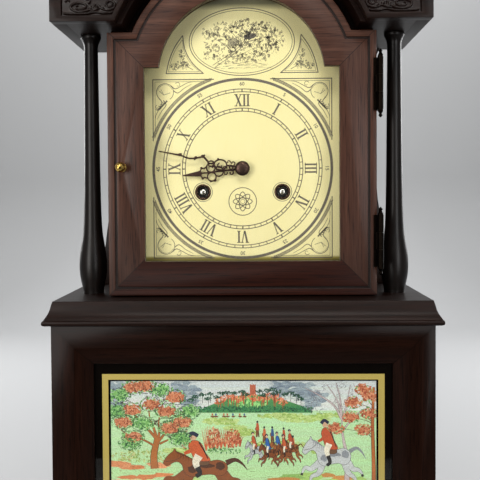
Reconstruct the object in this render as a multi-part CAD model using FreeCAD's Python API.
"""Grandfather-pattern pendulum clock of shelf size: case, hood, door, dial, hands and movement.

Millimetres, +Z up, front facing -Y.  The origin is on the table, midway across and midway deep.
"""
import FreeCAD, Part
import os
from math import asin, atan2, cos, degrees, hypot, pi, radians, sin, sqrt

V = FreeCAD.Vector

# ---------------------------------------------------------------- driving dimensions
# Overall case
case_width = 330.0          # lower case, over its sides
depth = 153.0               # moulding lip to back board
table_to_shelf = 289.0      # table to the shelf that carries the hood
column_height = 239.7       # shelf to the underside of the cornice
cornice_inset = 1.5         # cornice inside the case's sides
cornice_height = 43.3       # the square blocks of the cornice
side_board = 12.0
back_board = 8.0

# Waist moulding, base and feet
shelf_thickness = 20.6
lip_over_case = 6.0         # lip outside the case's sides
shelf_top_inset = 8.2       # flat top inside the lip
lip_overhang = 11.0         # lip in front of the cornice's face
foot_height = 20.0
foot_width = 44.0
base_height = 25.4
pendulum_slot = 56.0        # slot in the shelf
slot_depth = 34.0

# Framed picture in the lower case
frame_thickness = 19.0
frame_flat = 20.1
frame_bevel = 15.0
bevel_depth = 8.0
glass_seat = 10.0           # frame face to the glass
glass_lap = 6.0             # glass hidden behind the frame
picture_glass_thick = 2.0
picture_panel_thick = 1.5
picture_backing_thick = 4.0
cover_thickness = 6.0
screw_head_r = 3.2
screw_r = 1.6

# Door
door_width = 239.0
door_shoulder_drop = 5.5    # shoulder below the cornice, less the gap
door_gap = 1.3              # shelf to door
door_thickness = 14.0
door_setback = 27.0         # behind the cornice's face
arch_centre_drop = 44.4     # arch centre below the cornice
door_arch_r = 105.0
bead_width = 5.7
groove_width = 2.2
groove_depth = 1.2
window_inset = 32.5         # window inside the door's edge
window_low = 31.6
window_step_drop = 35.1     # window's shoulder below the cornice
window_arch_r = 74.3
rebate = 5.0
door_glass_thick = 2.0
stop_thickness = 3.0
hinge_forward = 5.0         # pin in front of the door's face
hinge_outward = 2.5         # pin outside the door's edge
pin_r = 1.2
knuckle_r = 2.7
leaf_thick = 1.2
leaf_reach = 9.0            # leaf's depth along the door's edge
leaf_strip = 3.0            # leaf seen on the door's face
leaf_gap = 0.5              # door leaf to case leaf
lower_hinge_up = 49.4
upper_hinge_drop = 51.7
hinge_length = 46.0
pin_tip = 7.0
pin_head_r = 2.4
knob_inset = 12.5           # knob inside the door's edge
knob_up = 115.8
knob_r = 4.65

# Hood
hood_inset = 1.2            # hood sides inside the door's edges
hood_gap = 0.5              # door to hood
cornice_arch_r = 116.5
soffit_arch_r = 112.5
soffit_board = 6.0
head_board = 8.0
column_inset = 23.0         # column's centre inside the cornice
column_setback = 60.0

# Dial and hands
dial_setback = 57.0
dial_below_arch = 80.0      # dial centre below the arch centre
dial_lap = 8.0              # dial hidden behind the door's frame
dial_arch_r = 79.0
dial_plate_thick = 1.2
dial_board_thick = 7.0
dial_board_r = 80.5          # round head of the board behind the dial
winding_x = 36.8
winding_down = 21.6
winding_hole_r = 6.0
bush_r = 8.0
minute_hand_length = 78.5
hour_hand_length = 55.7
hand_thick = 0.8
hour_angle = 263.5          # clockwise from twelve, 8:47
minute_angle = 282.0
collet_r = 6.8

# Movement
plate_thick = 2.0
plate_gap = 28.0            # between the plates
movement_gap = 8.3          # dial board to front plate
plate_half = 71.0
plate_low = 62.0            # below the dial centre
plate_high = 70.0           # above it
centre_pin_r = 1.5
run = 0.05                  # running clearance on a radius
hole_gap = 0.4              # free gap around a shaft that only passes
cannon_teeth, motion_teeth = 12, 36
motion_leaves, hour_teeth = 10, 40
motion_distance = 20.0
great_teeth, great_leaves = 70, 14
centre_teeth, third_leaves, centre_module = 96, 8, 0.4
third_teeth, escape_leaves, third_module = 80, 8, 0.45
escape_teeth, escape_r = 30, 14.0
strike_teeth, fly_leaves, strike_module = 80, 8, 0.4
pallet_lift = 19.0          # anchor arbor above the escape wheel
pendulum_length = 248.5
bob_r = 22.0
bob_thick = 9.0
gong_r = 33.0
gong_up = 45.3              # above the shelf
gong_behind = 16.0          # behind the back plate
wire_r = 1.2

# ---------------------------------------------------------------- derived places
front = -depth / 2                       # moulding lip
face = front + lip_overhang              # cornice face
back = depth / 2
shelf = table_to_shelf
shelf_under = shelf - shelf_thickness
case_half = case_width / 2
lip_half = case_half + lip_over_case
shelf_half = lip_half - shelf_top_inset
case_front = face - 1.5
case_inner = case_half - side_board
body_low = foot_height + base_height
cornice_under = shelf + column_height
cornice_half = case_half - cornice_inset
block_top = cornice_under + cornice_height
arch_z = cornice_under - arch_centre_drop
door_front = face + door_setback
door_back = door_front + door_thickness
door_half = door_width / 2
door_low = shelf + door_gap
door_high = door_low + column_height - door_shoulder_drop
window_half = door_half - window_inset
window_high = cornice_under - window_step_drop
knob_x = -door_half + knob_inset
hood_front = door_back + hood_gap
hood_half = door_half - hood_inset
column_x = cornice_half - column_inset
dial_half = window_half + dial_lap
board_front = back - back_board
dial_front = face + dial_setback
dial_back = dial_front + dial_plate_thick
dial_board_back = dial_back + dial_board_thick
dial_z = arch_z - dial_below_arch
plate_front = dial_board_back + movement_gap
inside_front = plate_front + plate_thick
inside_back = inside_front + plate_gap
plate_back = inside_back + plate_thick
pin_x = door_half + hinge_outward
pin_y = door_front - hinge_forward

pieces = {}


# ---------------------------------------------------------------- shape helpers
def box(x0, x1, y0, y1, z0, z1):
    return Part.makeBox(x1 - x0, y1 - y0, z1 - z0, V(x0, y0, z0))


def rod_y(x, z, r, y0, y1):
    return Part.makeCylinder(r, y1 - y0, V(x, y0, z), V(0, 1, 0))


def rod_z(x, y, r, z0, z1):
    return Part.makeCylinder(r, z1 - z0, V(x, y, z0), V(0, 0, 1))


def rod_x(y, z, r, x0, x1):
    return Part.makeCylinder(r, x1 - x0, V(x0, y, z), V(1, 0, 0))


def tube_y(x, z, outer, inner, y0, y1):
    return rod_y(x, z, outer, y0, y1).cut(rod_y(x, z, inner, y0 - 1, y1 + 1))


def prism_y(outline, y0, y1):
    """Extrude a closed outline of (x, z) points, or a wire at y = 0, from y0 to y1."""
    if isinstance(outline, list):
        outline = Part.makePolygon([V(x, 0, z) for x, z in outline + outline[:1]])
    solid = Part.Face(outline).extrude(V(0, y1 - y0, 0))
    solid.translate(V(0, y0, 0))
    return solid


def turned_z(profile, x, y):
    """Turn a list of (radius, z) points about the vertical line through x, y."""
    points = [V(r, 0, z) for r, z in profile]
    wire = Part.makePolygon([V(0, 0, profile[0][1])] + points + [V(0, 0, profile[-1][1]),
                                                                 V(0, 0, profile[0][1])])
    solid = Part.Face(wire).revolve(V(0, 0, 0), V(0, 0, 1), 360)
    solid.translate(V(x, y, 0))
    return solid


def turned_y(profile, x, z):
    """Turn a list of (radius, y) points about the line along Y through x, z."""
    points = [V(r, y, 0) for r, y in profile]
    ends = (V(0, profile[0][1], 0), V(0, profile[-1][1], 0))
    wire = Part.makePolygon([ends[0]] + points + [ends[1], ends[0]])
    solid = Part.Face(wire).revolve(V(0, 0, 0), V(0, 1, 0), 360)
    solid.translate(V(x, 0, z))
    return solid


def mirrored(shape):
    return shape.mirror(V(0, 0, 0), V(1, 0, 0))


def pair(shape):
    return Part.makeCompound([shape, mirrored(shape)])


def edge(p, q):
    return Part.LineSegment(V(p[0], 0, p[1]), V(q[0], 0, q[1])).toShape()


def arc(p, middle, q):
    return Part.Arc(V(p[0], 0, p[1]), V(middle[0], 0, middle[1]), V(q[0], 0, q[1])).toShape()


def arched_wire(half, low, shoulder, radius):
    """Outline of a panel with square shoulders and a round head about the arch centre."""
    spring = sqrt(radius ** 2 - (shoulder - arch_z) ** 2)
    corners = [(-spring, shoulder), (-half, shoulder), (-half, low), (half, low), (half, shoulder),
               (spring, shoulder)]
    if spring >= half:
        spring = half
        shoulder = arch_z + sqrt(radius ** 2 - half ** 2)
        corners = [(-half, shoulder), (-half, low), (half, low), (half, shoulder)]
    sides = [edge(p, q) for p, q in zip(corners, corners[1:])]
    return Part.Wire(sides + [arc(corners[-1], (0, arch_z + radius), corners[0])])


def door_outline(inset=0.0):
    return arched_wire(door_half - inset, door_low + inset, door_high - inset, door_arch_r - inset)


def window_outline(outset=0.0):
    return arched_wire(window_half + outset, shelf + window_low - outset,
                       window_high + outset, window_arch_r + outset)


def gear(teeth, module, x, z, y0, y1, bore, turn=0.0, width=0.36):
    """Wheel with straight-sided teeth; width is a tooth's share of the pitch at the pitch circle."""
    pitch_r = teeth * module / 2
    tip_r = pitch_r + 0.75 * module
    root_r = pitch_r - 1.1 * module
    step = 2 * pi / teeth
    outline = []
    for k in range(teeth):
        middle = turn + k * step
        for r, share in ((root_r, -width * 0.62), (tip_r, -width * 0.26), (tip_r, width * 0.26),
                         (root_r, width * 0.62)):
            angle = middle + share * step
            outline.append((x + r * sin(angle), z + r * cos(angle)))
    solid = prism_y(outline, y0, y1)
    return solid.cut(rod_y(x, z, bore, y0 - 1, y1 + 1)) if bore else solid


def toward(x0, z0, x1, z1):
    """Clockwise angle from straight up, seen from the front, of the line between two arbors."""
    return atan2(x1 - x0, z1 - z0)


def spoked(wheel, x, z, y0, y1, hub_r, rim_r, spokes=4, arm=2.4):
    """Cross a wheel out, leaving a hub, a rim and straight arms."""
    web = tube_y(x, z, rim_r, hub_r, y0 - 1, y1 + 1)
    for k in range(spokes // 2):
        bar = box(x - rim_r - 1, x + rim_r + 1, y0 - 2, y1 + 2, z - arm / 2, z + arm / 2)
        bar.rotate(V(x, 0, z), V(0, 1, 0), 45 + k * 360 / spokes)
        web = web.cut(bar)
    return wheel.cut(web)


def joined(*shapes):
    return shapes[0].multiFuse(list(shapes[1:])).removeSplitter()


# ---------------------------------------------------------------- lower case
def lower_case():
    low, high = body_low, shelf_under
    frame_back = case_front + frame_thickness
    open_half = case_half - frame_flat - frame_bevel
    open_low, open_high = low + frame_flat + frame_bevel, high - frame_flat - frame_bevel
    frame = box(-case_half, case_half, case_front, frame_back, low, high)
    frame = frame.cut(box(-open_half, open_half, case_front - 1, frame_back + 1, open_low, open_high))
    reach = frame_bevel
    outer = Part.makePolygon([V(x, case_front, z) for x, z in (
        (-open_half - reach, open_low - reach), (open_half + reach, open_low - reach),
        (open_half + reach, open_high + reach), (-open_half - reach, open_high + reach),
        (-open_half - reach, open_low - reach))])
    inner = Part.makePolygon([V(x, case_front + bevel_depth, z) for x, z in (
        (-open_half, open_low), (open_half, open_low), (open_half, open_high),
        (-open_half, open_high), (-open_half, open_low))])
    frame = frame.cut(Part.makeLoft([outer, inner], True, True))
    lap_half = open_half + glass_lap
    lap_low, lap_high = open_low - glass_lap, open_high + glass_lap
    seat = case_front + glass_seat
    frame = frame.cut(box(-lap_half - 0.3, lap_half + 0.3, seat, frame_back + 1, lap_low - 0.3,
                          lap_high + 0.3))
    pieces["lower_front_frame"] = frame

    y = seat
    for name, thick in (("picture_glass", picture_glass_thick), ("picture_panel", picture_panel_thick),
                        ("picture_backing", picture_backing_thick)):
        pieces[name] = box(-lap_half, lap_half, y, y + thick, lap_low, lap_high)
        y += thick

    pieces["lower_sides"] = pair(box(case_inner, case_half, frame_back, back, low, high))
    cover_front = back - cover_thickness
    bottom_high = low + side_board
    pieces["case_bottom"] = box(-case_inner, case_inner, frame_back, cover_front, low, bottom_high)
    pieces["lower_rear_cover"] = box(-case_inner, case_inner, cover_front, back, low, high)
    screws = []
    for x in (-case_inner * 0.8, 0.0, case_inner * 0.8):
        for z in (low + side_board / 2, high - side_board / 2):
            head = rod_y(x, z, screw_head_r, back - 1.5, back)
            screws.append(joined(head, rod_y(x, z, screw_r, cover_front - 8, back - 1)))
    holes = Part.makeCompound(screws)
    rail = box(-case_inner, case_inner, cover_front - side_board, cover_front, high - side_board, high)
    pieces["lower_sides"] = Part.makeCompound(pieces["lower_sides"].Solids + [rail.cut(holes)])
    for name in ("lower_rear_cover", "case_bottom"):
        pieces[name] = pieces[name].cut(holes)
    pieces["cover_screws"] = holes


def edge_moulding(profile, z0, z1):
    """Board whose front and sides follow (overhang, z) points; its back is flat at the case back."""
    layers = []
    for (out0, low), (out1, high) in zip(profile, profile[1:]):
        loops = []
        for out, z in ((out0, low), (out1, high)):
            loops.append(Part.makePolygon([V(-out[0], out[1], z), V(out[0], out[1], z), V(out[0], back, z),
                                           V(-out[0], back, z), V(-out[0], out[1], z)]))
        layers.append(Part.makeLoft(loops, True, True))
    return joined(*layers)


def shelf_and_base():
    top_half = shelf_half

    def at(share):
        """Half-width and front of the shelf between its flat top (0) and its lip (1)."""
        return top_half + (lip_half - top_half) * share, face + (front - face) * share

    under = (case_half + 1.0, case_front - 1.0)
    steps = [(under, 0.0), (at(0.86), 1.6), (at(1.0), 4.4), (at(0.93), 7.0), (at(0.62), 9.6),
             (at(0.34), 12.8),
             (at(0.20), 16.4), (at(0.10), 18.0), (at(0.0), 18.1), (at(0.0), shelf_thickness)]
    board = edge_moulding([(out, shelf_under + up) for out, up in steps], shelf_under, shelf)
    slot_y = pendulum_y - slot_depth / 2
    slot = box(-pendulum_slot / 2, pendulum_slot / 2, slot_y, slot_y + slot_depth, shelf_under - 1,
               shelf + 1)
    pieces["waist_moulding"] = board.cut(slot)

    base_half = case_half + 5.5
    base_front = case_front - 6.0
    steps = [((base_half, base_front), 0.0), ((base_half, base_front), 11.0),
             ((base_half - 1.4, base_front + 1.4), 12.4),
             ((base_half - 1.8, base_front + 1.8), 15.5), ((base_half - 4.4, base_front + 4.6), 19.0),
             ((case_half, case_front), base_height)]
    base = edge_moulding([(out, foot_height + up) for out, up in steps], foot_height, body_low)
    rim = 26.0
    well = box(-case_half + rim, case_half - rim, case_front + rim, back - rim, foot_height - 1,
               body_low + 1)
    pieces["base_moulding"] = base.cut(well)

    feet = []
    foot = foot_width
    for side in (-1, 1):
        for y0, y1 in ((base_front + 1.5, base_front + 1.5 + foot), (back - foot, back)):
            x0, x1 = sorted((side * (base_half - 1.5), side * (base_half - 1.5 - foot)))
            low_in = 5.0
            inner_x0, inner_x1 = (x0, x1 - low_in) if side < 0 else (x0 + low_in, x1)
            inner_y0, inner_y1 = (y0, y1 - low_in) if y0 < 0 else (y0 + low_in, y1)
            top = Part.makePolygon([V(x, y, foot_height) for x,
                                    y in ((x0, y0), (x1, y0), (x1, y1), (x0, y1), (x0, y0))])
            floor = Part.makePolygon([V(x, y, 0) for x, y in (
                (inner_x0, inner_y0), (inner_x1, inner_y0), (inner_x1, inner_y1), (inner_x0, inner_y1),
                (inner_x0, inner_y0))])
            feet.append(Part.makeLoft([floor, top], True, True))
    pieces["feet"] = Part.makeCompound(feet)


# ---------------------------------------------------------------- hood
swan_band = 9.0
swan_proud = 6.0
scroll_r = 13.0
scroll_x = 31.0
plinth_half = 15.0
finial_rise = 92.0          # finial's tip above the blocks


def fascia_top():
    """Top outline of the fascia, from the left block to the middle, as (x, z) points on an S-curve."""
    start = (-cornice_half, block_top - swan_band)
    end = (-scroll_x - 4.0, cornice_under + 106.0 - swan_band)
    points = []
    for k in range(13):
        share = k / 12
        x = start[0] + (end[0] - start[0]) * share
        rise = (1 - cos(pi * share)) / 2
        points.append((x, start[1] + (end[1] - start[1]) * (0.35 * share ** 2 + 0.65 * rise)))
    return points


def cornice():
    top = fascia_top()
    notch = arch_z + cornice_arch_r + 11.0
    right = [(-x, z) for x, z in reversed(top)]
    outline = [(-cornice_half, cornice_under)] + top + [(-plinth_half - 8, notch), (plinth_half + 8, notch)]
    outline += right + [(cornice_half, cornice_under)]
    fascia = prism_y(outline, face, face + side_board)
    fascia = fascia.cut(rod_y(0, arch_z, cornice_arch_r, face - 1, face + side_board + 1))
    recess = 3.0
    panel_left = cornice_half - 10.2
    panel_low = cornice_under + 5.0
    panel_high = block_top - swan_band - 0.5
    panel_r = cornice_arch_r + 4.0

    def panel(inset, y0, y1):
        slab = box(-panel_left + inset, 0, y0, y1, panel_low + inset, panel_high - inset)
        return slab.cut(rod_y(0, arch_z, panel_r + inset, y0 - 1, y1 + 1))

    fascia = fascia.cut(pair(panel(0.0, face - 1, face + recess)))
    pieces["cornice_fascia"] = fascia
    pieces["carved_panels"] = pair(panel(0.2, face + 0.5, face + recess))

    behind = face + side_board
    pieces["cornice_sides"] = pair(box(cornice_half - side_board, cornice_half, behind, board_front,
                                       cornice_under, block_top))
    spring_x = sqrt(soffit_arch_r ** 2 - (cornice_under - arch_z) ** 2)
    inner = cornice_half - side_board
    shell_r = cornice_arch_r + 2.0
    soffit = box(spring_x + 4.0, inner, behind, board_front, cornice_under, cornice_under + soffit_board)
    soffit = soffit.cut(rod_y(0, arch_z, shell_r, behind - 1, hood_front + head_board))
    shell = tube_y(0, arch_z, shell_r, soffit_arch_r, behind, hood_front + head_board)
    pieces["arch_soffit"] = shell.common(box(-shell_r, shell_r, behind, hood_front + head_board,
                                             cornice_under, arch_z + shell_r))
    head = tube_y(0, arch_z, soffit_arch_r, dial_arch_r + 3.0, hood_front, hood_front + head_board)
    pieces["hood_head"] = head.common(box(-shell_r, shell_r, hood_front, hood_front + head_board,
                                          cornice_under, arch_z + shell_r))
    roof_low = block_top - 7.0
    roof_front = hood_front + head_board
    cap_in = sqrt(shell_r ** 2 - (roof_low - arch_z) ** 2) + 0.2
    roof = box(-inner, inner, roof_front, board_front, roof_low, block_top)
    cap = box(cap_in, inner, behind, roof_front, roof_low, block_top)
    pieces["cornice_boards"] = Part.makeCompound([roof, cap, mirrored(cap), soffit, mirrored(soffit)])
    side = [(0.0, -9.0), (2.2, -7.5), (2.8, -4.5), (5.0, -2.0), (5.6, 0.0), (0.0, 0.0)]
    wire = Part.makePolygon([V(cornice_half + out, face + side_board, block_top + up) for out,
                             up in side + side[:1]])
    pieces["side_mouldings"] = pair(Part.Face(wire).extrude(V(0, back - face - side_board, 0)))


def swan_necks():
    lower = fascia_top()
    upper = [(x, z + swan_band) for x, z in lower]
    lower[0] = (-cornice_half - 5.6, lower[0][1])
    upper[0] = (-cornice_half - 5.6, upper[0][1])
    neck = prism_y(lower + list(reversed(upper)), face - swan_proud, face + side_board)
    step = [(x, z + 3.2) for x, z in lower]
    neck = neck.cut(prism_y(lower + list(reversed(step)), face - swan_proud - 1, face - 3.0))
    centre = (-scroll_x, upper[-1][1] - scroll_r)
    scroll = rod_y(centre[0], centre[1], scroll_r, face - swan_proud, face)
    neck = neck.cut(rod_y(centre[0], centre[1], scroll_r + 0.1, face - swan_proud - 1,
                          face + side_board + 1))
    eye_y = face - swan_proud
    rosette = turned_y([(scroll_r, face - 0.01), (scroll_r, eye_y), (scroll_r - 2, eye_y - 1.5),
                        (4.5, eye_y + 1.5), (3.2, eye_y - 2.0), (0.01, eye_y - 2.6)], centre[0], centre[1])
    pieces["swan_necks"] = Part.makeCompound([neck, mirrored(neck), rosette, mirrored(rosette)])
    notch = arch_z + cornice_arch_r + 11.0
    plinth_y = face + side_board / 2
    plinth = box(-plinth_half, plinth_half, face - 4.0, face + side_board + 4.0, notch, notch + 12.0)
    cap = box(-plinth_half - 2, plinth_half + 2, face - 6.0, face + side_board + 6.0, notch + 12.0,
              notch + 15.0)
    base = notch + 15.0
    tall = block_top + finial_rise - base
    urn = turned_z([(7.5, base), (7.5, base + 0.06 * tall), (3.2, base + 0.14 * tall),
                    (4.2, base + 0.2 * tall),
                    (9.4, base + 0.36 * tall), (10.8, base + 0.48 * tall), (9.6, base + 0.56 * tall),
                    (4.6, base + 0.62 * tall), (5.6, base + 0.68 * tall), (4.8, base + 0.78 * tall),
                    (1.6, base + 0.92 * tall), (0.6, base + tall)], 0, plinth_y)
    pieces["finial"] = joined(plinth, cap, urn)


def hood():
    top = cornice_under
    hood_inner = hood_half - side_board
    pieces["hood_sides"] = pair(box(hood_inner, hood_half, hood_front, board_front, shelf, top))
    backboard_half = 163.5      # cornice half-width the waisted profile below is drawn for
    profile = [(-148.0, 0.0), (-145.5, 26.0), (-142.0, 53.0), (-136.8, 86.0), (-134.3, 116.0),
               (-133.6, 148.0),
               (-133.6, column_height - 17.7), (-134.8, column_height - 8.7), (-138.7, column_height)]
    share = cornice_half / backboard_half
    left = [(x * share, shelf + up) for x, up in profile]
    outline = left + [(-cornice_half, top), (-cornice_half, block_top), (cornice_half, block_top),
                      (cornice_half, top)]
    outline += [(-x, z) for x, z in reversed(left)]
    pieces["backboard"] = prism_y(outline, board_front, back)


def columns():
    h = column_height
    y = face + column_setback
    profile = [(9.5, 0), (9.6, 2.0), (10.4, 7), (12.2, 16), (12.75, 26), (12.3, 35), (10.6, 46), (8.9, 58)]
    profile += [(7.9, 80), (7.3, 120), (6.9, 0.69 * h), (6.6, 0.83 * h), (6.4, h - 12), (6.5, h - 9)]
    profile += [(8.2, h - 4.5), (9.35, h - 3), (9.35, h)]
    left = turned_z([(r, shelf + up) for r, up in profile], -column_x, y)
    pieces["columns"] = pair(left)


# ---------------------------------------------------------------- door
def door():
    glass_front = door_front + door_thickness / 2 + 0.5
    glass_back = glass_front + door_glass_thick
    stop_back = glass_back + stop_thickness
    frame = prism_y(door_outline(), door_front, door_back)
    groove = prism_y(door_outline(bead_width), door_front - 1, door_front + groove_depth)
    groove = groove.cut(prism_y(door_outline(bead_width + groove_width), door_front - 2, door_back))
    frame = frame.cut(groove).cut(prism_y(window_outline(), door_front - 1, door_back + 1))
    frame = frame.cut(prism_y(window_outline(rebate), glass_front, door_back + 1))
    knob_z = shelf + knob_up
    frame = frame.cut(rod_y(knob_x, knob_z, 1.5 + run, door_front - 1, door_front + 8))
    pieces["door_frame"] = frame
    pieces["door_glass"] = prism_y(window_outline(rebate - 0.2), glass_front, glass_back)
    stops = prism_y(window_outline(rebate - 0.1), glass_back, stop_back)
    pieces["glass_stops"] = stops.cut(prism_y(window_outline(rebate - 4.0), glass_back - 1, stop_back + 1))
    ball = []
    for k in range(9):
        turn = pi * (0.04 + 0.78 * k / 8)
        ball.append((knob_r * sin(turn), door_front - 8.6 - knob_r * cos(turn)))
    profile = list(reversed(ball))
    neck_y = profile[0][1]
    profile = [(1.5, door_front + 7.9), (1.5, door_front), (4.2, door_front), (4.2, door_front - 1.2),
               (2.2, door_front - 2.4), (2.0, neck_y + 0.6)] + profile
    pieces["door_knob"] = turned_y(profile, knob_x, knob_z)

    hinge_leaves()

    inner = hood_half - side_board
    z = shelf + knob_up
    pieces["catch_magnet"] = box(-inner, -inner + 7.0, hood_front + 0.4, hood_front + 10.0, z - 10, z + 10)
    pieces["catch_plate"] = box(-inner + 1.0, -inner + 6.0, door_back, door_back + 0.5, z - 6, z + 6)


def hinge_leaves():
    """Two loose-pin hinges: leaves let into the door's edge, blades outside them on the hood's side."""
    door_leaves, case_leaves, pins = [], [], []
    third = hinge_length / 3
    blade_x = door_half + leaf_gap
    blade_back = hood_front + leaf_reach
    for middle in (shelf + lower_hinge_up, cornice_under - upper_hinge_drop):
        z0, z1 = middle - hinge_length / 2, middle + hinge_length / 2
        a, b = z0 + third, z1 - third
        bore = rod_z(pin_x, pin_y, pin_r + run, z0 - 1, z1 + 1)
        seat = box(door_half - leaf_thick, door_half, door_front, door_front + leaf_reach, z0, z1)
        pieces["door_frame"] = pieces["door_frame"].cut(seat)
        strip = box(door_half - leaf_strip, door_half, door_front - leaf_thick, door_front, z0, z1)
        web = box(door_half - leaf_thick, door_half, pin_y, door_front, a + 0.3, b - 0.3)
        eye = rod_z(pin_x, pin_y, knuckle_r, a + 0.2, b - 0.2)
        door_leaves.append(joined(seat, strip, web, eye).cut(bore))

        blade = box(blade_x, blade_x + leaf_thick, pin_y, blade_back, z0, z1)
        blade = blade.cut(box(door_half, pin_x + 5, pin_y - 5, pin_y + knuckle_r + 0.3, a - 0.1, b + 0.1))
        pad = box(hood_half, blade_x, hood_front + 1, blade_back, z0, z1)
        ends = rod_z(pin_x, pin_y, knuckle_r, z0, a).fuse(rod_z(pin_x, pin_y, knuckle_r, b, z1))
        case_leaves.append(joined(blade, pad, ends).cut(bore))

        half = [(0.3, pin_tip), (1.9, pin_tip - 1.6), (pin_r, pin_tip - 3.4), (pin_head_r, 1.4),
                (pin_head_r, 0.0)]
        lower = [(r, z0 - up) for r, up in half] + [(pin_r, z0)]
        upper = [(pin_r, z1)] + [(r, z1 + up) for r, up in reversed(half)]
        pins.append(turned_z(lower + upper, pin_x, pin_y))
    pieces["door_hinge_leaves"] = Part.makeCompound(door_leaves)
    pieces["case_hinge_leaves"] = Part.makeCompound(case_leaves)
    pieces["hinge_pins"] = Part.makeCompound(pins)


# ---------------------------------------------------------------- dial and hands
def hand(length, angle, y0, hub_r, bore, flourish):
    """Serpentine hand: hub, S-shaped stem of three curls, leaf and pointed tip."""
    stem = 1.1
    shapes = [rod_y(0, 0, hub_r, y0, y0 + hand_thick)]
    for share, r, side in flourish:
        x, z = side * r * 0.75, length * share
        shapes.append(tube_y(x, z, r, r - 1.3, y0, y0 + hand_thick))
    shapes.append(prism_y([(-stem, 0), (stem, 0), (stem * 0.6, length * 0.8), (-stem * 0.6, length * 0.8)],
                          y0, y0 + hand_thick))
    shapes.append(prism_y([(0, length * 0.72), (2.3, length * 0.79), (0, length), (-2.3, length * 0.79)],
                          y0, y0 + hand_thick))
    shape = joined(*shapes).cut(rod_y(0, 0, bore, y0 - 1, y0 + hand_thick + 1))
    shape.rotate(V(0, 0, 0), V(0, 1, 0), angle)
    shape.translate(V(0, 0, dial_z))
    return shape


def dial():
    low = shelf + window_low - 5.0
    step = window_high + 6.0
    outline = arched_wire(dial_half, low, step, dial_arch_r)
    plate = prism_y(outline, dial_front, dial_back)
    inner = hood_half - side_board
    board = prism_y(arched_wire(inner, shelf, cornice_under, dial_board_r), dial_back, dial_board_back)
    plate = plate.cut(rod_y(0, dial_z, hour_pipe_r + 1.0, dial_front - 1, dial_back + 1))
    board = board.cut(rod_y(0, dial_z, hour_pipe_r + 2.0, dial_back - 1, dial_board_back + 1))
    bushes = []
    for side in (-1, 1):
        x, z = side * winding_x, dial_z - winding_down
        plate = plate.cut(rod_y(x, z, winding_hole_r + 0.8, dial_front - 1, dial_back + 1))
        board = board.cut(rod_y(x, z, bush_r + 1.0, dial_back - 1, dial_board_back + 1))
        flange = tube_y(x, z, bush_r, winding_hole_r, dial_front - 0.8, dial_front)
        bushes.append(joined(flange, tube_y(x, z, winding_hole_r + 0.8, winding_hole_r, dial_front - 0.8,
                                            dial_back)))
    pieces["dial_plate"] = plate
    pieces["dial_board"] = board
    pieces["winding_bushes"] = Part.makeCompound(bushes)


def hands():
    hour_y = dial_front - 4.0
    minute_y = dial_front - 7.0
    curls_hour = ((0.30, 4.6, 1), (0.48, 5.2, -1), (0.64, 3.4, 1))
    curls_minute = ((0.16, 4.0, 1), (0.30, 4.8, -1), (0.44, 4.4, 1), (0.57, 3.4, -1))
    pieces["hour_hand"] = hand(hour_hand_length, hour_angle, hour_y, 5.6, hour_pipe_r, curls_hour)
    pieces["minute_hand"] = hand(minute_hand_length, minute_angle, minute_y, 5.0, cannon_pipe_r,
                                 curls_minute)
    tip = minute_y - 3.6
    pieces["hand_nut"] = turned_y([(collet_r - 1.0, minute_y), (collet_r - 0.6, minute_y - 0.8),
                                   (4.8, minute_y - 2.2),
                                   (2.6, minute_y - 3.0), (0.8, tip)], 0, dial_z)
    post_hole = rod_y(0, dial_z, centre_pin_r + run, minute_y - 1.2, minute_y + 1)
    pieces["hand_nut"] = pieces["hand_nut"].cut(post_hole)
    return hour_y, minute_y


# ---------------------------------------------------------------- movement
cannon_pipe_r = 2.3
hour_pipe_r = 3.3
pendulum_y = plate_back + 7.0
time_at = (winding_x, dial_z - winding_down)
strike_at = (-winding_x, dial_z - winding_down)
third_at = (0.0, dial_z + centre_module * (centre_teeth + third_leaves) / 2)
escape_at = (0.0, third_at[1] + third_module * (third_teeth + escape_leaves) / 2)
anchor_at = (0.0, escape_at[1] + pallet_lift)
motion_at = (0.0, dial_z + motion_distance)
great_distance = hypot(winding_x, winding_down)
great_module = 2 * great_distance / (great_teeth + great_leaves)
strike_lean = radians(-11.0)
strike_wheel_at = (strike_at[0] + great_distance * sin(strike_lean),
                   strike_at[1] + great_distance * cos(strike_lean))
fly_at = (strike_wheel_at[0], strike_wheel_at[1] + strike_module * (strike_teeth + fly_leaves) / 2)
hammer_at = (-63.5, dial_z + 11.5)
gong_at = (0.0, shelf + gong_up)
gong_y = plate_back + gong_behind


def meshing_turn(teeth_a, turn_a, a, teeth_b, b):
    """Turn that puts a gap of gear b on the line of centres where gear a has a tooth."""
    to_b = toward(a[0], a[1], b[0], b[1])
    phase = ((to_b - turn_a) * teeth_a / (2 * pi)) % 1.0
    return to_b + pi + (phase + 0.5) * 2 * pi / teeth_b


def arbor(at, r, y0, y1, pivot_r=0.8):
    """Shaft between the plates, with a thinner pivot through each plate."""
    middle = rod_y(at[0], at[1], r, y0, y1)
    return joined(middle, rod_y(at[0], at[1], pivot_r, y0 - plate_thick, y1 + plate_thick))


def barrel(at, great_y, drum_y0, drum_y1, turn):
    """Toothed great wheel with its spring drum, turning on the winding arbor."""
    bore = 3.0 + run
    wheel = gear(great_teeth, great_module, at[0], at[1], great_y, great_y + 2.0, 0, turn)
    drum = rod_y(at[0], at[1], 31.0, drum_y0, drum_y1)
    hollow = tube_y(at[0], at[1], 29.6, 6.0, drum_y0 + 1.4, drum_y1 - 1.4)
    return joined(wheel, drum).cut(hollow).cut(rod_y(at[0], at[1], bore, drum_y0 - 4, drum_y1 + 4))


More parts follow.
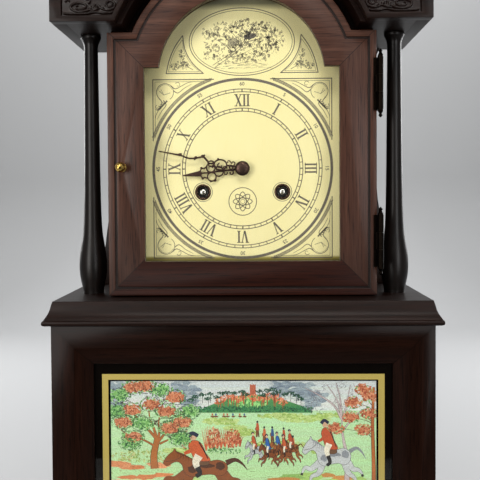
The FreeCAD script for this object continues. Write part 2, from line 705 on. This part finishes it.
def winding_arbor(at, turn):
    """Arbor with its ratchet wheel in front of the plate and a square end behind the dial."""
    ratchet_y = plate_front - 3.4
    shaft = rod_y(at[0], at[1], 3.0, ratchet_y, inside_back)
    shaft = joined(shaft, rod_y(at[0], at[1], 2.0, inside_back, plate_back + 0.5))
    square = box(at[0] - 1.9, at[0] + 1.9, dial_front + 0.6, ratchet_y + 1, at[1] - 1.9, at[1] + 1.9)
    teeth = []
    count = 16
    for k in range(count):
        for r, share in ((9.2, 0.0), (11.0, 0.92)):
            angle = turn + (k + share) * 2 * pi / count
            teeth.append((at[0] + r * sin(angle), at[1] + r * cos(angle)))
    return joined(shaft, square, prism_y(teeth, ratchet_y, ratchet_y + 2.0))


def movement():
    x_half = plate_half
    low, high = dial_z - plate_low, dial_z + plate_high
    corner = 9.0
    corners = [(sx * (x_half - 6), z) for sx in (-1, 1) for z in (low + 6, high - 6)]
    outline = [(-x_half + corner, low), (x_half - corner, low), (x_half, low + corner),
               (x_half, high - corner),
               (x_half - corner, high), (-x_half + corner, high), (-x_half, high - corner), (-x_half,
                                                                                             low + corner)]
    plates = {}
    small = [third_at, escape_at, anchor_at, strike_wheel_at, fly_at]
    for name, y0 in (("front_plate", plate_front), ("back_plate", inside_back)):
        plate = prism_y(outline, y0, y0 + plate_thick)
        for at in small:
            plate = plate.cut(rod_y(at[0], at[1], 0.8 + run, y0 - 1, y0 + plate_thick + 1))
        for at in corners:
            plate = plate.cut(rod_y(at[0], at[1], 2.0, y0 - 1, y0 + plate_thick + 1))
        plates[name] = plate
    for at in (time_at, strike_at):
        plates["front_plate"] = plates["front_plate"].cut(rod_y(at[0], at[1], 3.0 + run, plate_front - 1,
                                                                inside_front + 1))
        plates["back_plate"] = plates["back_plate"].cut(rod_y(at[0], at[1], 2.0 + run, inside_back - 1,
                                                              plate_back + 1))
    plates["front_plate"] = plates["front_plate"].cut(rod_y(0, dial_z, centre_pin_r + run, plate_front - 1,
                                                            inside_front + 1))
    plates["back_plate"] = plates["back_plate"].cut(rod_y(0, dial_z, 0.8 + run, inside_back - 1,
                                                          plate_back + 1))
    stud_y = plate_front - 5.6
    stud = rod_y(motion_at[0], motion_at[1], 1.2, stud_y, plate_front)
    plates["front_plate"] = plates["front_plate"].fuse(stud).removeSplitter()
    cock_low, cock_high = anchor_at[1] + 3.2, anchor_at[1] + 9.5
    hammer_r = 1.5
    for name, y0 in (("front_plate", plate_front), ("back_plate", inside_back)):
        r = 0.8 if name == "front_plate" else hammer_r
        plates[name] = plates[name].cut(rod_y(hammer_at[0], hammer_at[1], r + run, y0 - 1,
                                              y0 + plate_thick + 1))
    cock = box(-7, 7, plate_back, pendulum_y + 3.0, cock_low, cock_high)
    cock = cock.cut(box(-0.75, 0.75, pendulum_y - 3.2, pendulum_y + 4.0, cock_low - 1, cock_high - 2.4))
    tail = box(-7, 7, plate_back - 0.5, plate_back, cock_low, cock_high)
    plates["back_plate"] = plates["back_plate"].fuse(joined(cock, tail)).removeSplitter()
    pieces["front_plate"] = plates["front_plate"]
    pieces["back_plate"] = plates["back_plate"]
    pillars = []
    for x, z in corners:
        body = joined(rod_y(x, z, 3.5, inside_front, inside_back),
                      rod_y(x, z, 2.0, plate_front, plate_back),
                      rod_y(x, z, 3.5, dial_board_back, plate_front), rod_y(x, z, 3.4, plate_back,
                                                                            plate_back + 2.2))
        pillars.append(body)
    pieces["pillars"] = Part.makeCompound(pillars)

    # Going train: barrel, centre arbor, third wheel, escape wheel
    centre = (0.0, dial_z)
    great_y = inside_back - 4.6
    pinion_turn = meshing_turn(great_teeth, 0.0, time_at, great_leaves, centre)
    pieces["time_barrel"] = barrel(time_at, great_y, inside_front + 4.6, great_y + 0.5, 0.0)
    wheel_y = inside_front + 1.0
    wheel = gear(centre_teeth, centre_module, 0, dial_z, wheel_y, wheel_y + 1.4, 0)
    wheel = spoked(wheel, 0, dial_z, wheel_y, wheel_y + 1.4, 4.5, 16.4)
    post = joined(rod_y(0, dial_z, centre_pin_r, minute_y - 0.9, inside_front),
                  rod_y(0, dial_z, 2.2, inside_front, inside_back),
                  rod_y(0, dial_z, 0.8, inside_back, plate_back))
    pinion = gear(great_leaves, great_module, 0, dial_z, great_y - 0.6, great_y + 2.6, 0, pinion_turn)
    pieces["centre_arbor"] = joined(post, wheel, pinion)
    turn = meshing_turn(centre_teeth, 0.0, centre, third_leaves, third_at)
    third_y = inside_front + 11.0
    pinion = gear(third_leaves, centre_module, third_at[0], third_at[1], wheel_y - 0.5, wheel_y + 2.0, 0,
                  turn, 0.30)
    wheel = gear(third_teeth, third_module, third_at[0], third_at[1], third_y, third_y + 1.4, 0)
    wheel = spoked(wheel, third_at[0], third_at[1], third_y, third_y + 1.4, 4.0, 15.2)
    pieces["third_wheel"] = joined(arbor(third_at, 1.0, inside_front, inside_back), pinion, wheel)
    turn = meshing_turn(third_teeth, 0.0, third_at, escape_leaves, escape_at)
    pinion = gear(escape_leaves, third_module, escape_at[0], escape_at[1], third_y - 0.5, third_y + 2.0, 0,
                  turn, 0.30)
    escape_y = inside_back - 7.0
    teeth = []
    for k in range(escape_teeth):
        for r, share in ((escape_r - 2.2, 0.0), (escape_r, 0.44), (escape_r, 0.52), (escape_r - 2.2, 0.66)):
            angle = (k + share) * 2 * pi / escape_teeth
            teeth.append((escape_at[0] + r * sin(angle), escape_at[1] + r * cos(angle)))
    wheel = spoked(prism_y(teeth, escape_y, escape_y + 1.2), escape_at[0], escape_at[1], escape_y,
                   escape_y + 1.2, 3.4, 9.6)
    pieces["escape_wheel"] = joined(arbor(escape_at, 1.0, inside_front, inside_back), pinion, wheel)

    # Anchor with its crutch behind the back plate
    span = radians(42.0)
    tip_r = escape_r + 1.3
    arms = []
    for side in (-1, 1):
        tip = (escape_at[0] + side * tip_r * sin(span), escape_at[1] + tip_r * cos(span))
        width = 1.3
        arms.append(prism_y([(0, anchor_at[1] + 2.4), (side * (abs(tip[0]) + width), tip[1] + 3.2),
                             (side * (abs(tip[0]) + width), tip[1] - 0.2), (side * (abs(tip[0]) - 0.2),
                                                                            tip[1] + 1.2),
                             (side * (abs(tip[0]) - 1.6), tip[1] + 3.2), (0, anchor_at[1] - 2.0)],
                            escape_y - 0.8, escape_y + 2.0))
    crutch_y = plate_back + 1.0
    crutch_low = dial_z + 12.0
    shaft = joined(rod_y(anchor_at[0], anchor_at[1], 1.2, inside_front, inside_back),
                   rod_y(anchor_at[0], anchor_at[1], 0.8, plate_front, crutch_y + 1.4))
    hub = rod_y(anchor_at[0], anchor_at[1], 2.6, crutch_y, crutch_y + 1.4)
    strip = box(-1.5, 1.5, crutch_y, crutch_y + 1.4, crutch_low, anchor_at[1])
    prongs = [box(x0, x0 + 1.2, crutch_y, pendulum_y + 2.4, crutch_low - 2,
                  crutch_low + 4) for x0 in (-3.7, 2.5)]
    bridge = box(-3.7, 3.7, crutch_y, crutch_y + 1.4, crutch_low - 2, crutch_low + 4)
    pieces["anchor"] = joined(shaft, hub, strip, bridge, *prongs, *arms)

    # Pendulum: strip spring in the cock's slot, flat rod, bob and rating nut
    spring_high = cock_high - 2.7
    thick = 0.6
    bob_z = anchor_at[1] - pendulum_length
    rod_low = bob_z - bob_r - 9.0
    spring = box(-0.15, 0.15, pendulum_y - 2.6, pendulum_y + 2.6, anchor_at[1] - 5.0, spring_high)
    chops = box(-2.2, 2.2, pendulum_y - 2.8, pendulum_y + 2.8, anchor_at[1] - 9.0, anchor_at[1] - 3.0)
    rod = box(-2.2, 2.2, pendulum_y - thick, pendulum_y + thick, bob_z - bob_r + 1.0, anchor_at[1] - 8.0)
    thread = rod_z(0, pendulum_y, 1.0, rod_low, bob_z - bob_r + 2.0)
    pieces["pendulum_rod"] = joined(spring, chops, rod, thread)
    half_lens = [(0.85 * bob_r, 0.24 * bob_thick), (0.55 * bob_r, 0.42 * bob_thick), (0.14 * bob_r, 0.5 * bob_thick)]
    lens = [(r, pendulum_y - y) for r, y in reversed(half_lens)] + [(bob_r, pendulum_y - 0.8)]
    lens += [(bob_r, pendulum_y + 0.8)] + [(r, pendulum_y + y) for r, y in half_lens]
    lens = turned_y(lens, 0, bob_z)
    lens = lens.cut(box(-2.2 - run, 2.2 + run, pendulum_y - thick - run, pendulum_y + thick + run,
                        bob_z - bob_r - 2, bob_z + bob_r + 2))
    pieces["pendulum_bob"] = lens.cut(rod_z(0, pendulum_y, 1.0 + run, rod_low, bob_z - bob_r + 3.0))
    nut = rod_z(0, pendulum_y, 3.6, bob_z - bob_r - 4.4, bob_z - bob_r - 1.2)
    pieces["rating_nut"] = nut.cut(rod_z(0, pendulum_y, 1.0, rod_low - 1, bob_z))

    # Motion work: cannon pinion, motion wheel and hour wheel
    cannon_y = plate_front - 2.6
    cannon_module = 2 * motion_distance / (cannon_teeth + motion_teeth)
    hour_module = 2 * motion_distance / (motion_leaves + hour_teeth)
    pipe = rod_y(0, dial_z, cannon_pipe_r - run, minute_y, cannon_y + 1)
    body = joined(gear(cannon_teeth, cannon_module, 0, dial_z, cannon_y, cannon_y + 2.0, 0), pipe)
    pieces["cannon_pinion"] = body.cut(rod_y(0, dial_z, centre_pin_r + run, minute_y - 1, cannon_y + 3))
    turn = meshing_turn(cannon_teeth, 0.0, centre, motion_teeth, motion_at)
    wheel = gear(motion_teeth, cannon_module, motion_at[0], motion_at[1], cannon_y + 0.3, cannon_y + 1.7,
                 0, turn)
    leaves = gear(motion_leaves, hour_module, motion_at[0], motion_at[1], cannon_y - 2.8, cannon_y + 0.3, 0)
    pieces["motion_wheel"] = joined(wheel, leaves).cut(rod_y(motion_at[0], motion_at[1], 1.2 + run,
                                                             cannon_y - 4, cannon_y + 3))
    turn = meshing_turn(motion_leaves, 0.0, motion_at, hour_teeth, centre)
    wheel = gear(hour_teeth, hour_module, 0, dial_z, cannon_y - 2.2, cannon_y - 0.8, 0, turn)
    pipe = rod_y(0, dial_z, hour_pipe_r, hour_y, cannon_y - 0.9)
    pieces["hour_wheel"] = joined(wheel, pipe).cut(rod_y(0, dial_z, cannon_pipe_r + run, hour_y - 1,
                                                         cannon_y))

    pieces["time_arbor"] = winding_arbor(time_at, 0.0)
    pieces["strike_arbor"] = winding_arbor(strike_at, 0.0)


def striking():
    great_y = inside_front + 4.6
    pieces["strike_barrel"] = barrel(strike_at, great_y, great_y + 1.5, inside_back - 2.6, 0.0)
    turn = meshing_turn(great_teeth, 0.0, strike_at, great_leaves, strike_wheel_at)
    x, z = strike_wheel_at
    pinion = gear(great_leaves, great_module, x, z, great_y - 0.6, great_y + 2.6, 0, turn)
    wheel_y = inside_front + 1.0
    wheel = spoked(gear(strike_teeth, strike_module, x, z, wheel_y, wheel_y + 1.4, 0), x, z, wheel_y,
                   wheel_y + 1.4, 4.0, 13.4)
    pins = [rod_y(x + 14.4 * sin(k * pi / 4), z + 14.4 * cos(k * pi / 4), 0.6, wheel_y + 1.0, wheel_y + 3.2)
            for k in range(8)]
    pieces["strike_wheel"] = joined(arbor(strike_wheel_at, 1.2, inside_front, inside_back), pinion, wheel,
                                    *pins)
    turn = meshing_turn(strike_teeth, 0.0, strike_wheel_at, fly_leaves, fly_at)
    pinion = gear(fly_leaves, strike_module, fly_at[0], fly_at[1], wheel_y - 0.5, wheel_y + 2.0, 0, turn,
                  0.30)
    vane = box(fly_at[0] - 9.0, fly_at[0] + 9.0, wheel_y + 4.0, inside_back - 2.0, fly_at[1] - 0.3,
               fly_at[1] + 0.3)
    pieces["fly"] = joined(arbor(fly_at, 1.0, inside_front, inside_back), pinion, vane)

    # Hammer: arbor through the back plate, arm down to the gong, tail among the lifting pins
    x, z = hammer_at
    arm_y = gong_y - 1.0
    shaft = joined(rod_y(x, z, 1.5, inside_front, arm_y + 2.0), rod_y(x, z, 0.8, plate_front, inside_front))
    strike_x = gong_at[0] - gong_r - wire_r - 1.5
    head_z = gong_at[1]
    head = rod_x(gong_y, head_z, 4.2, strike_x - 11.0, strike_x)
    arm = prism_y([(x - 1.6, z), (x + 1.6, z), (strike_x - 4.4, head_z), (strike_x - 7.6, head_z)], arm_y,
                  arm_y + 2.0)
    eye = rod_y(x, z, 3.0, arm_y, arm_y + 2.0)
    tail = box(x - 0.8, x + 0.8, wheel_y + 1.8, wheel_y + 3.0, z, z + 4.8)
    tail.rotate(V(x, 0, z), V(0, 1, 0), degrees(toward(x, z, *strike_wheel_at)))
    pieces["hammer"] = joined(shaft, head, arm, eye, tail)

    # Coil gong on its block, held to the back board
    turns = 3
    rings = []
    for k in range(turns):
        r = gong_r - k * 5.5
        rings.append(Part.makeTorus(r, wire_r, V(gong_at[0], gong_y, gong_at[1]), V(0, 1, 0)))
    bar = rod_x(gong_y, gong_at[1], wire_r, gong_at[0], gong_at[0] + gong_r)
    pieces["gong"] = joined(bar, *rings)
    block = joined(rod_y(gong_at[0], gong_at[1], 7.0, gong_y + 2.6, board_front),
                   rod_y(gong_at[0], gong_at[1], 3.0, gong_y - 2.4, gong_y + 3.0))
    pieces["gong_block"] = block.cut(pieces["gong"])


lower_case()
shelf_and_base()
hood()
cornice()
swan_necks()
columns()
door()
dial()
hour_y, minute_y = hands()
movement()
striking()

os.makedirs("parts", exist_ok=True)
for name, shape in pieces.items():
    if not shape.isValid():
        print("not valid:", name)
    shape.exportStep("parts/" + name + ".step")
print(len(pieces), "pieces")
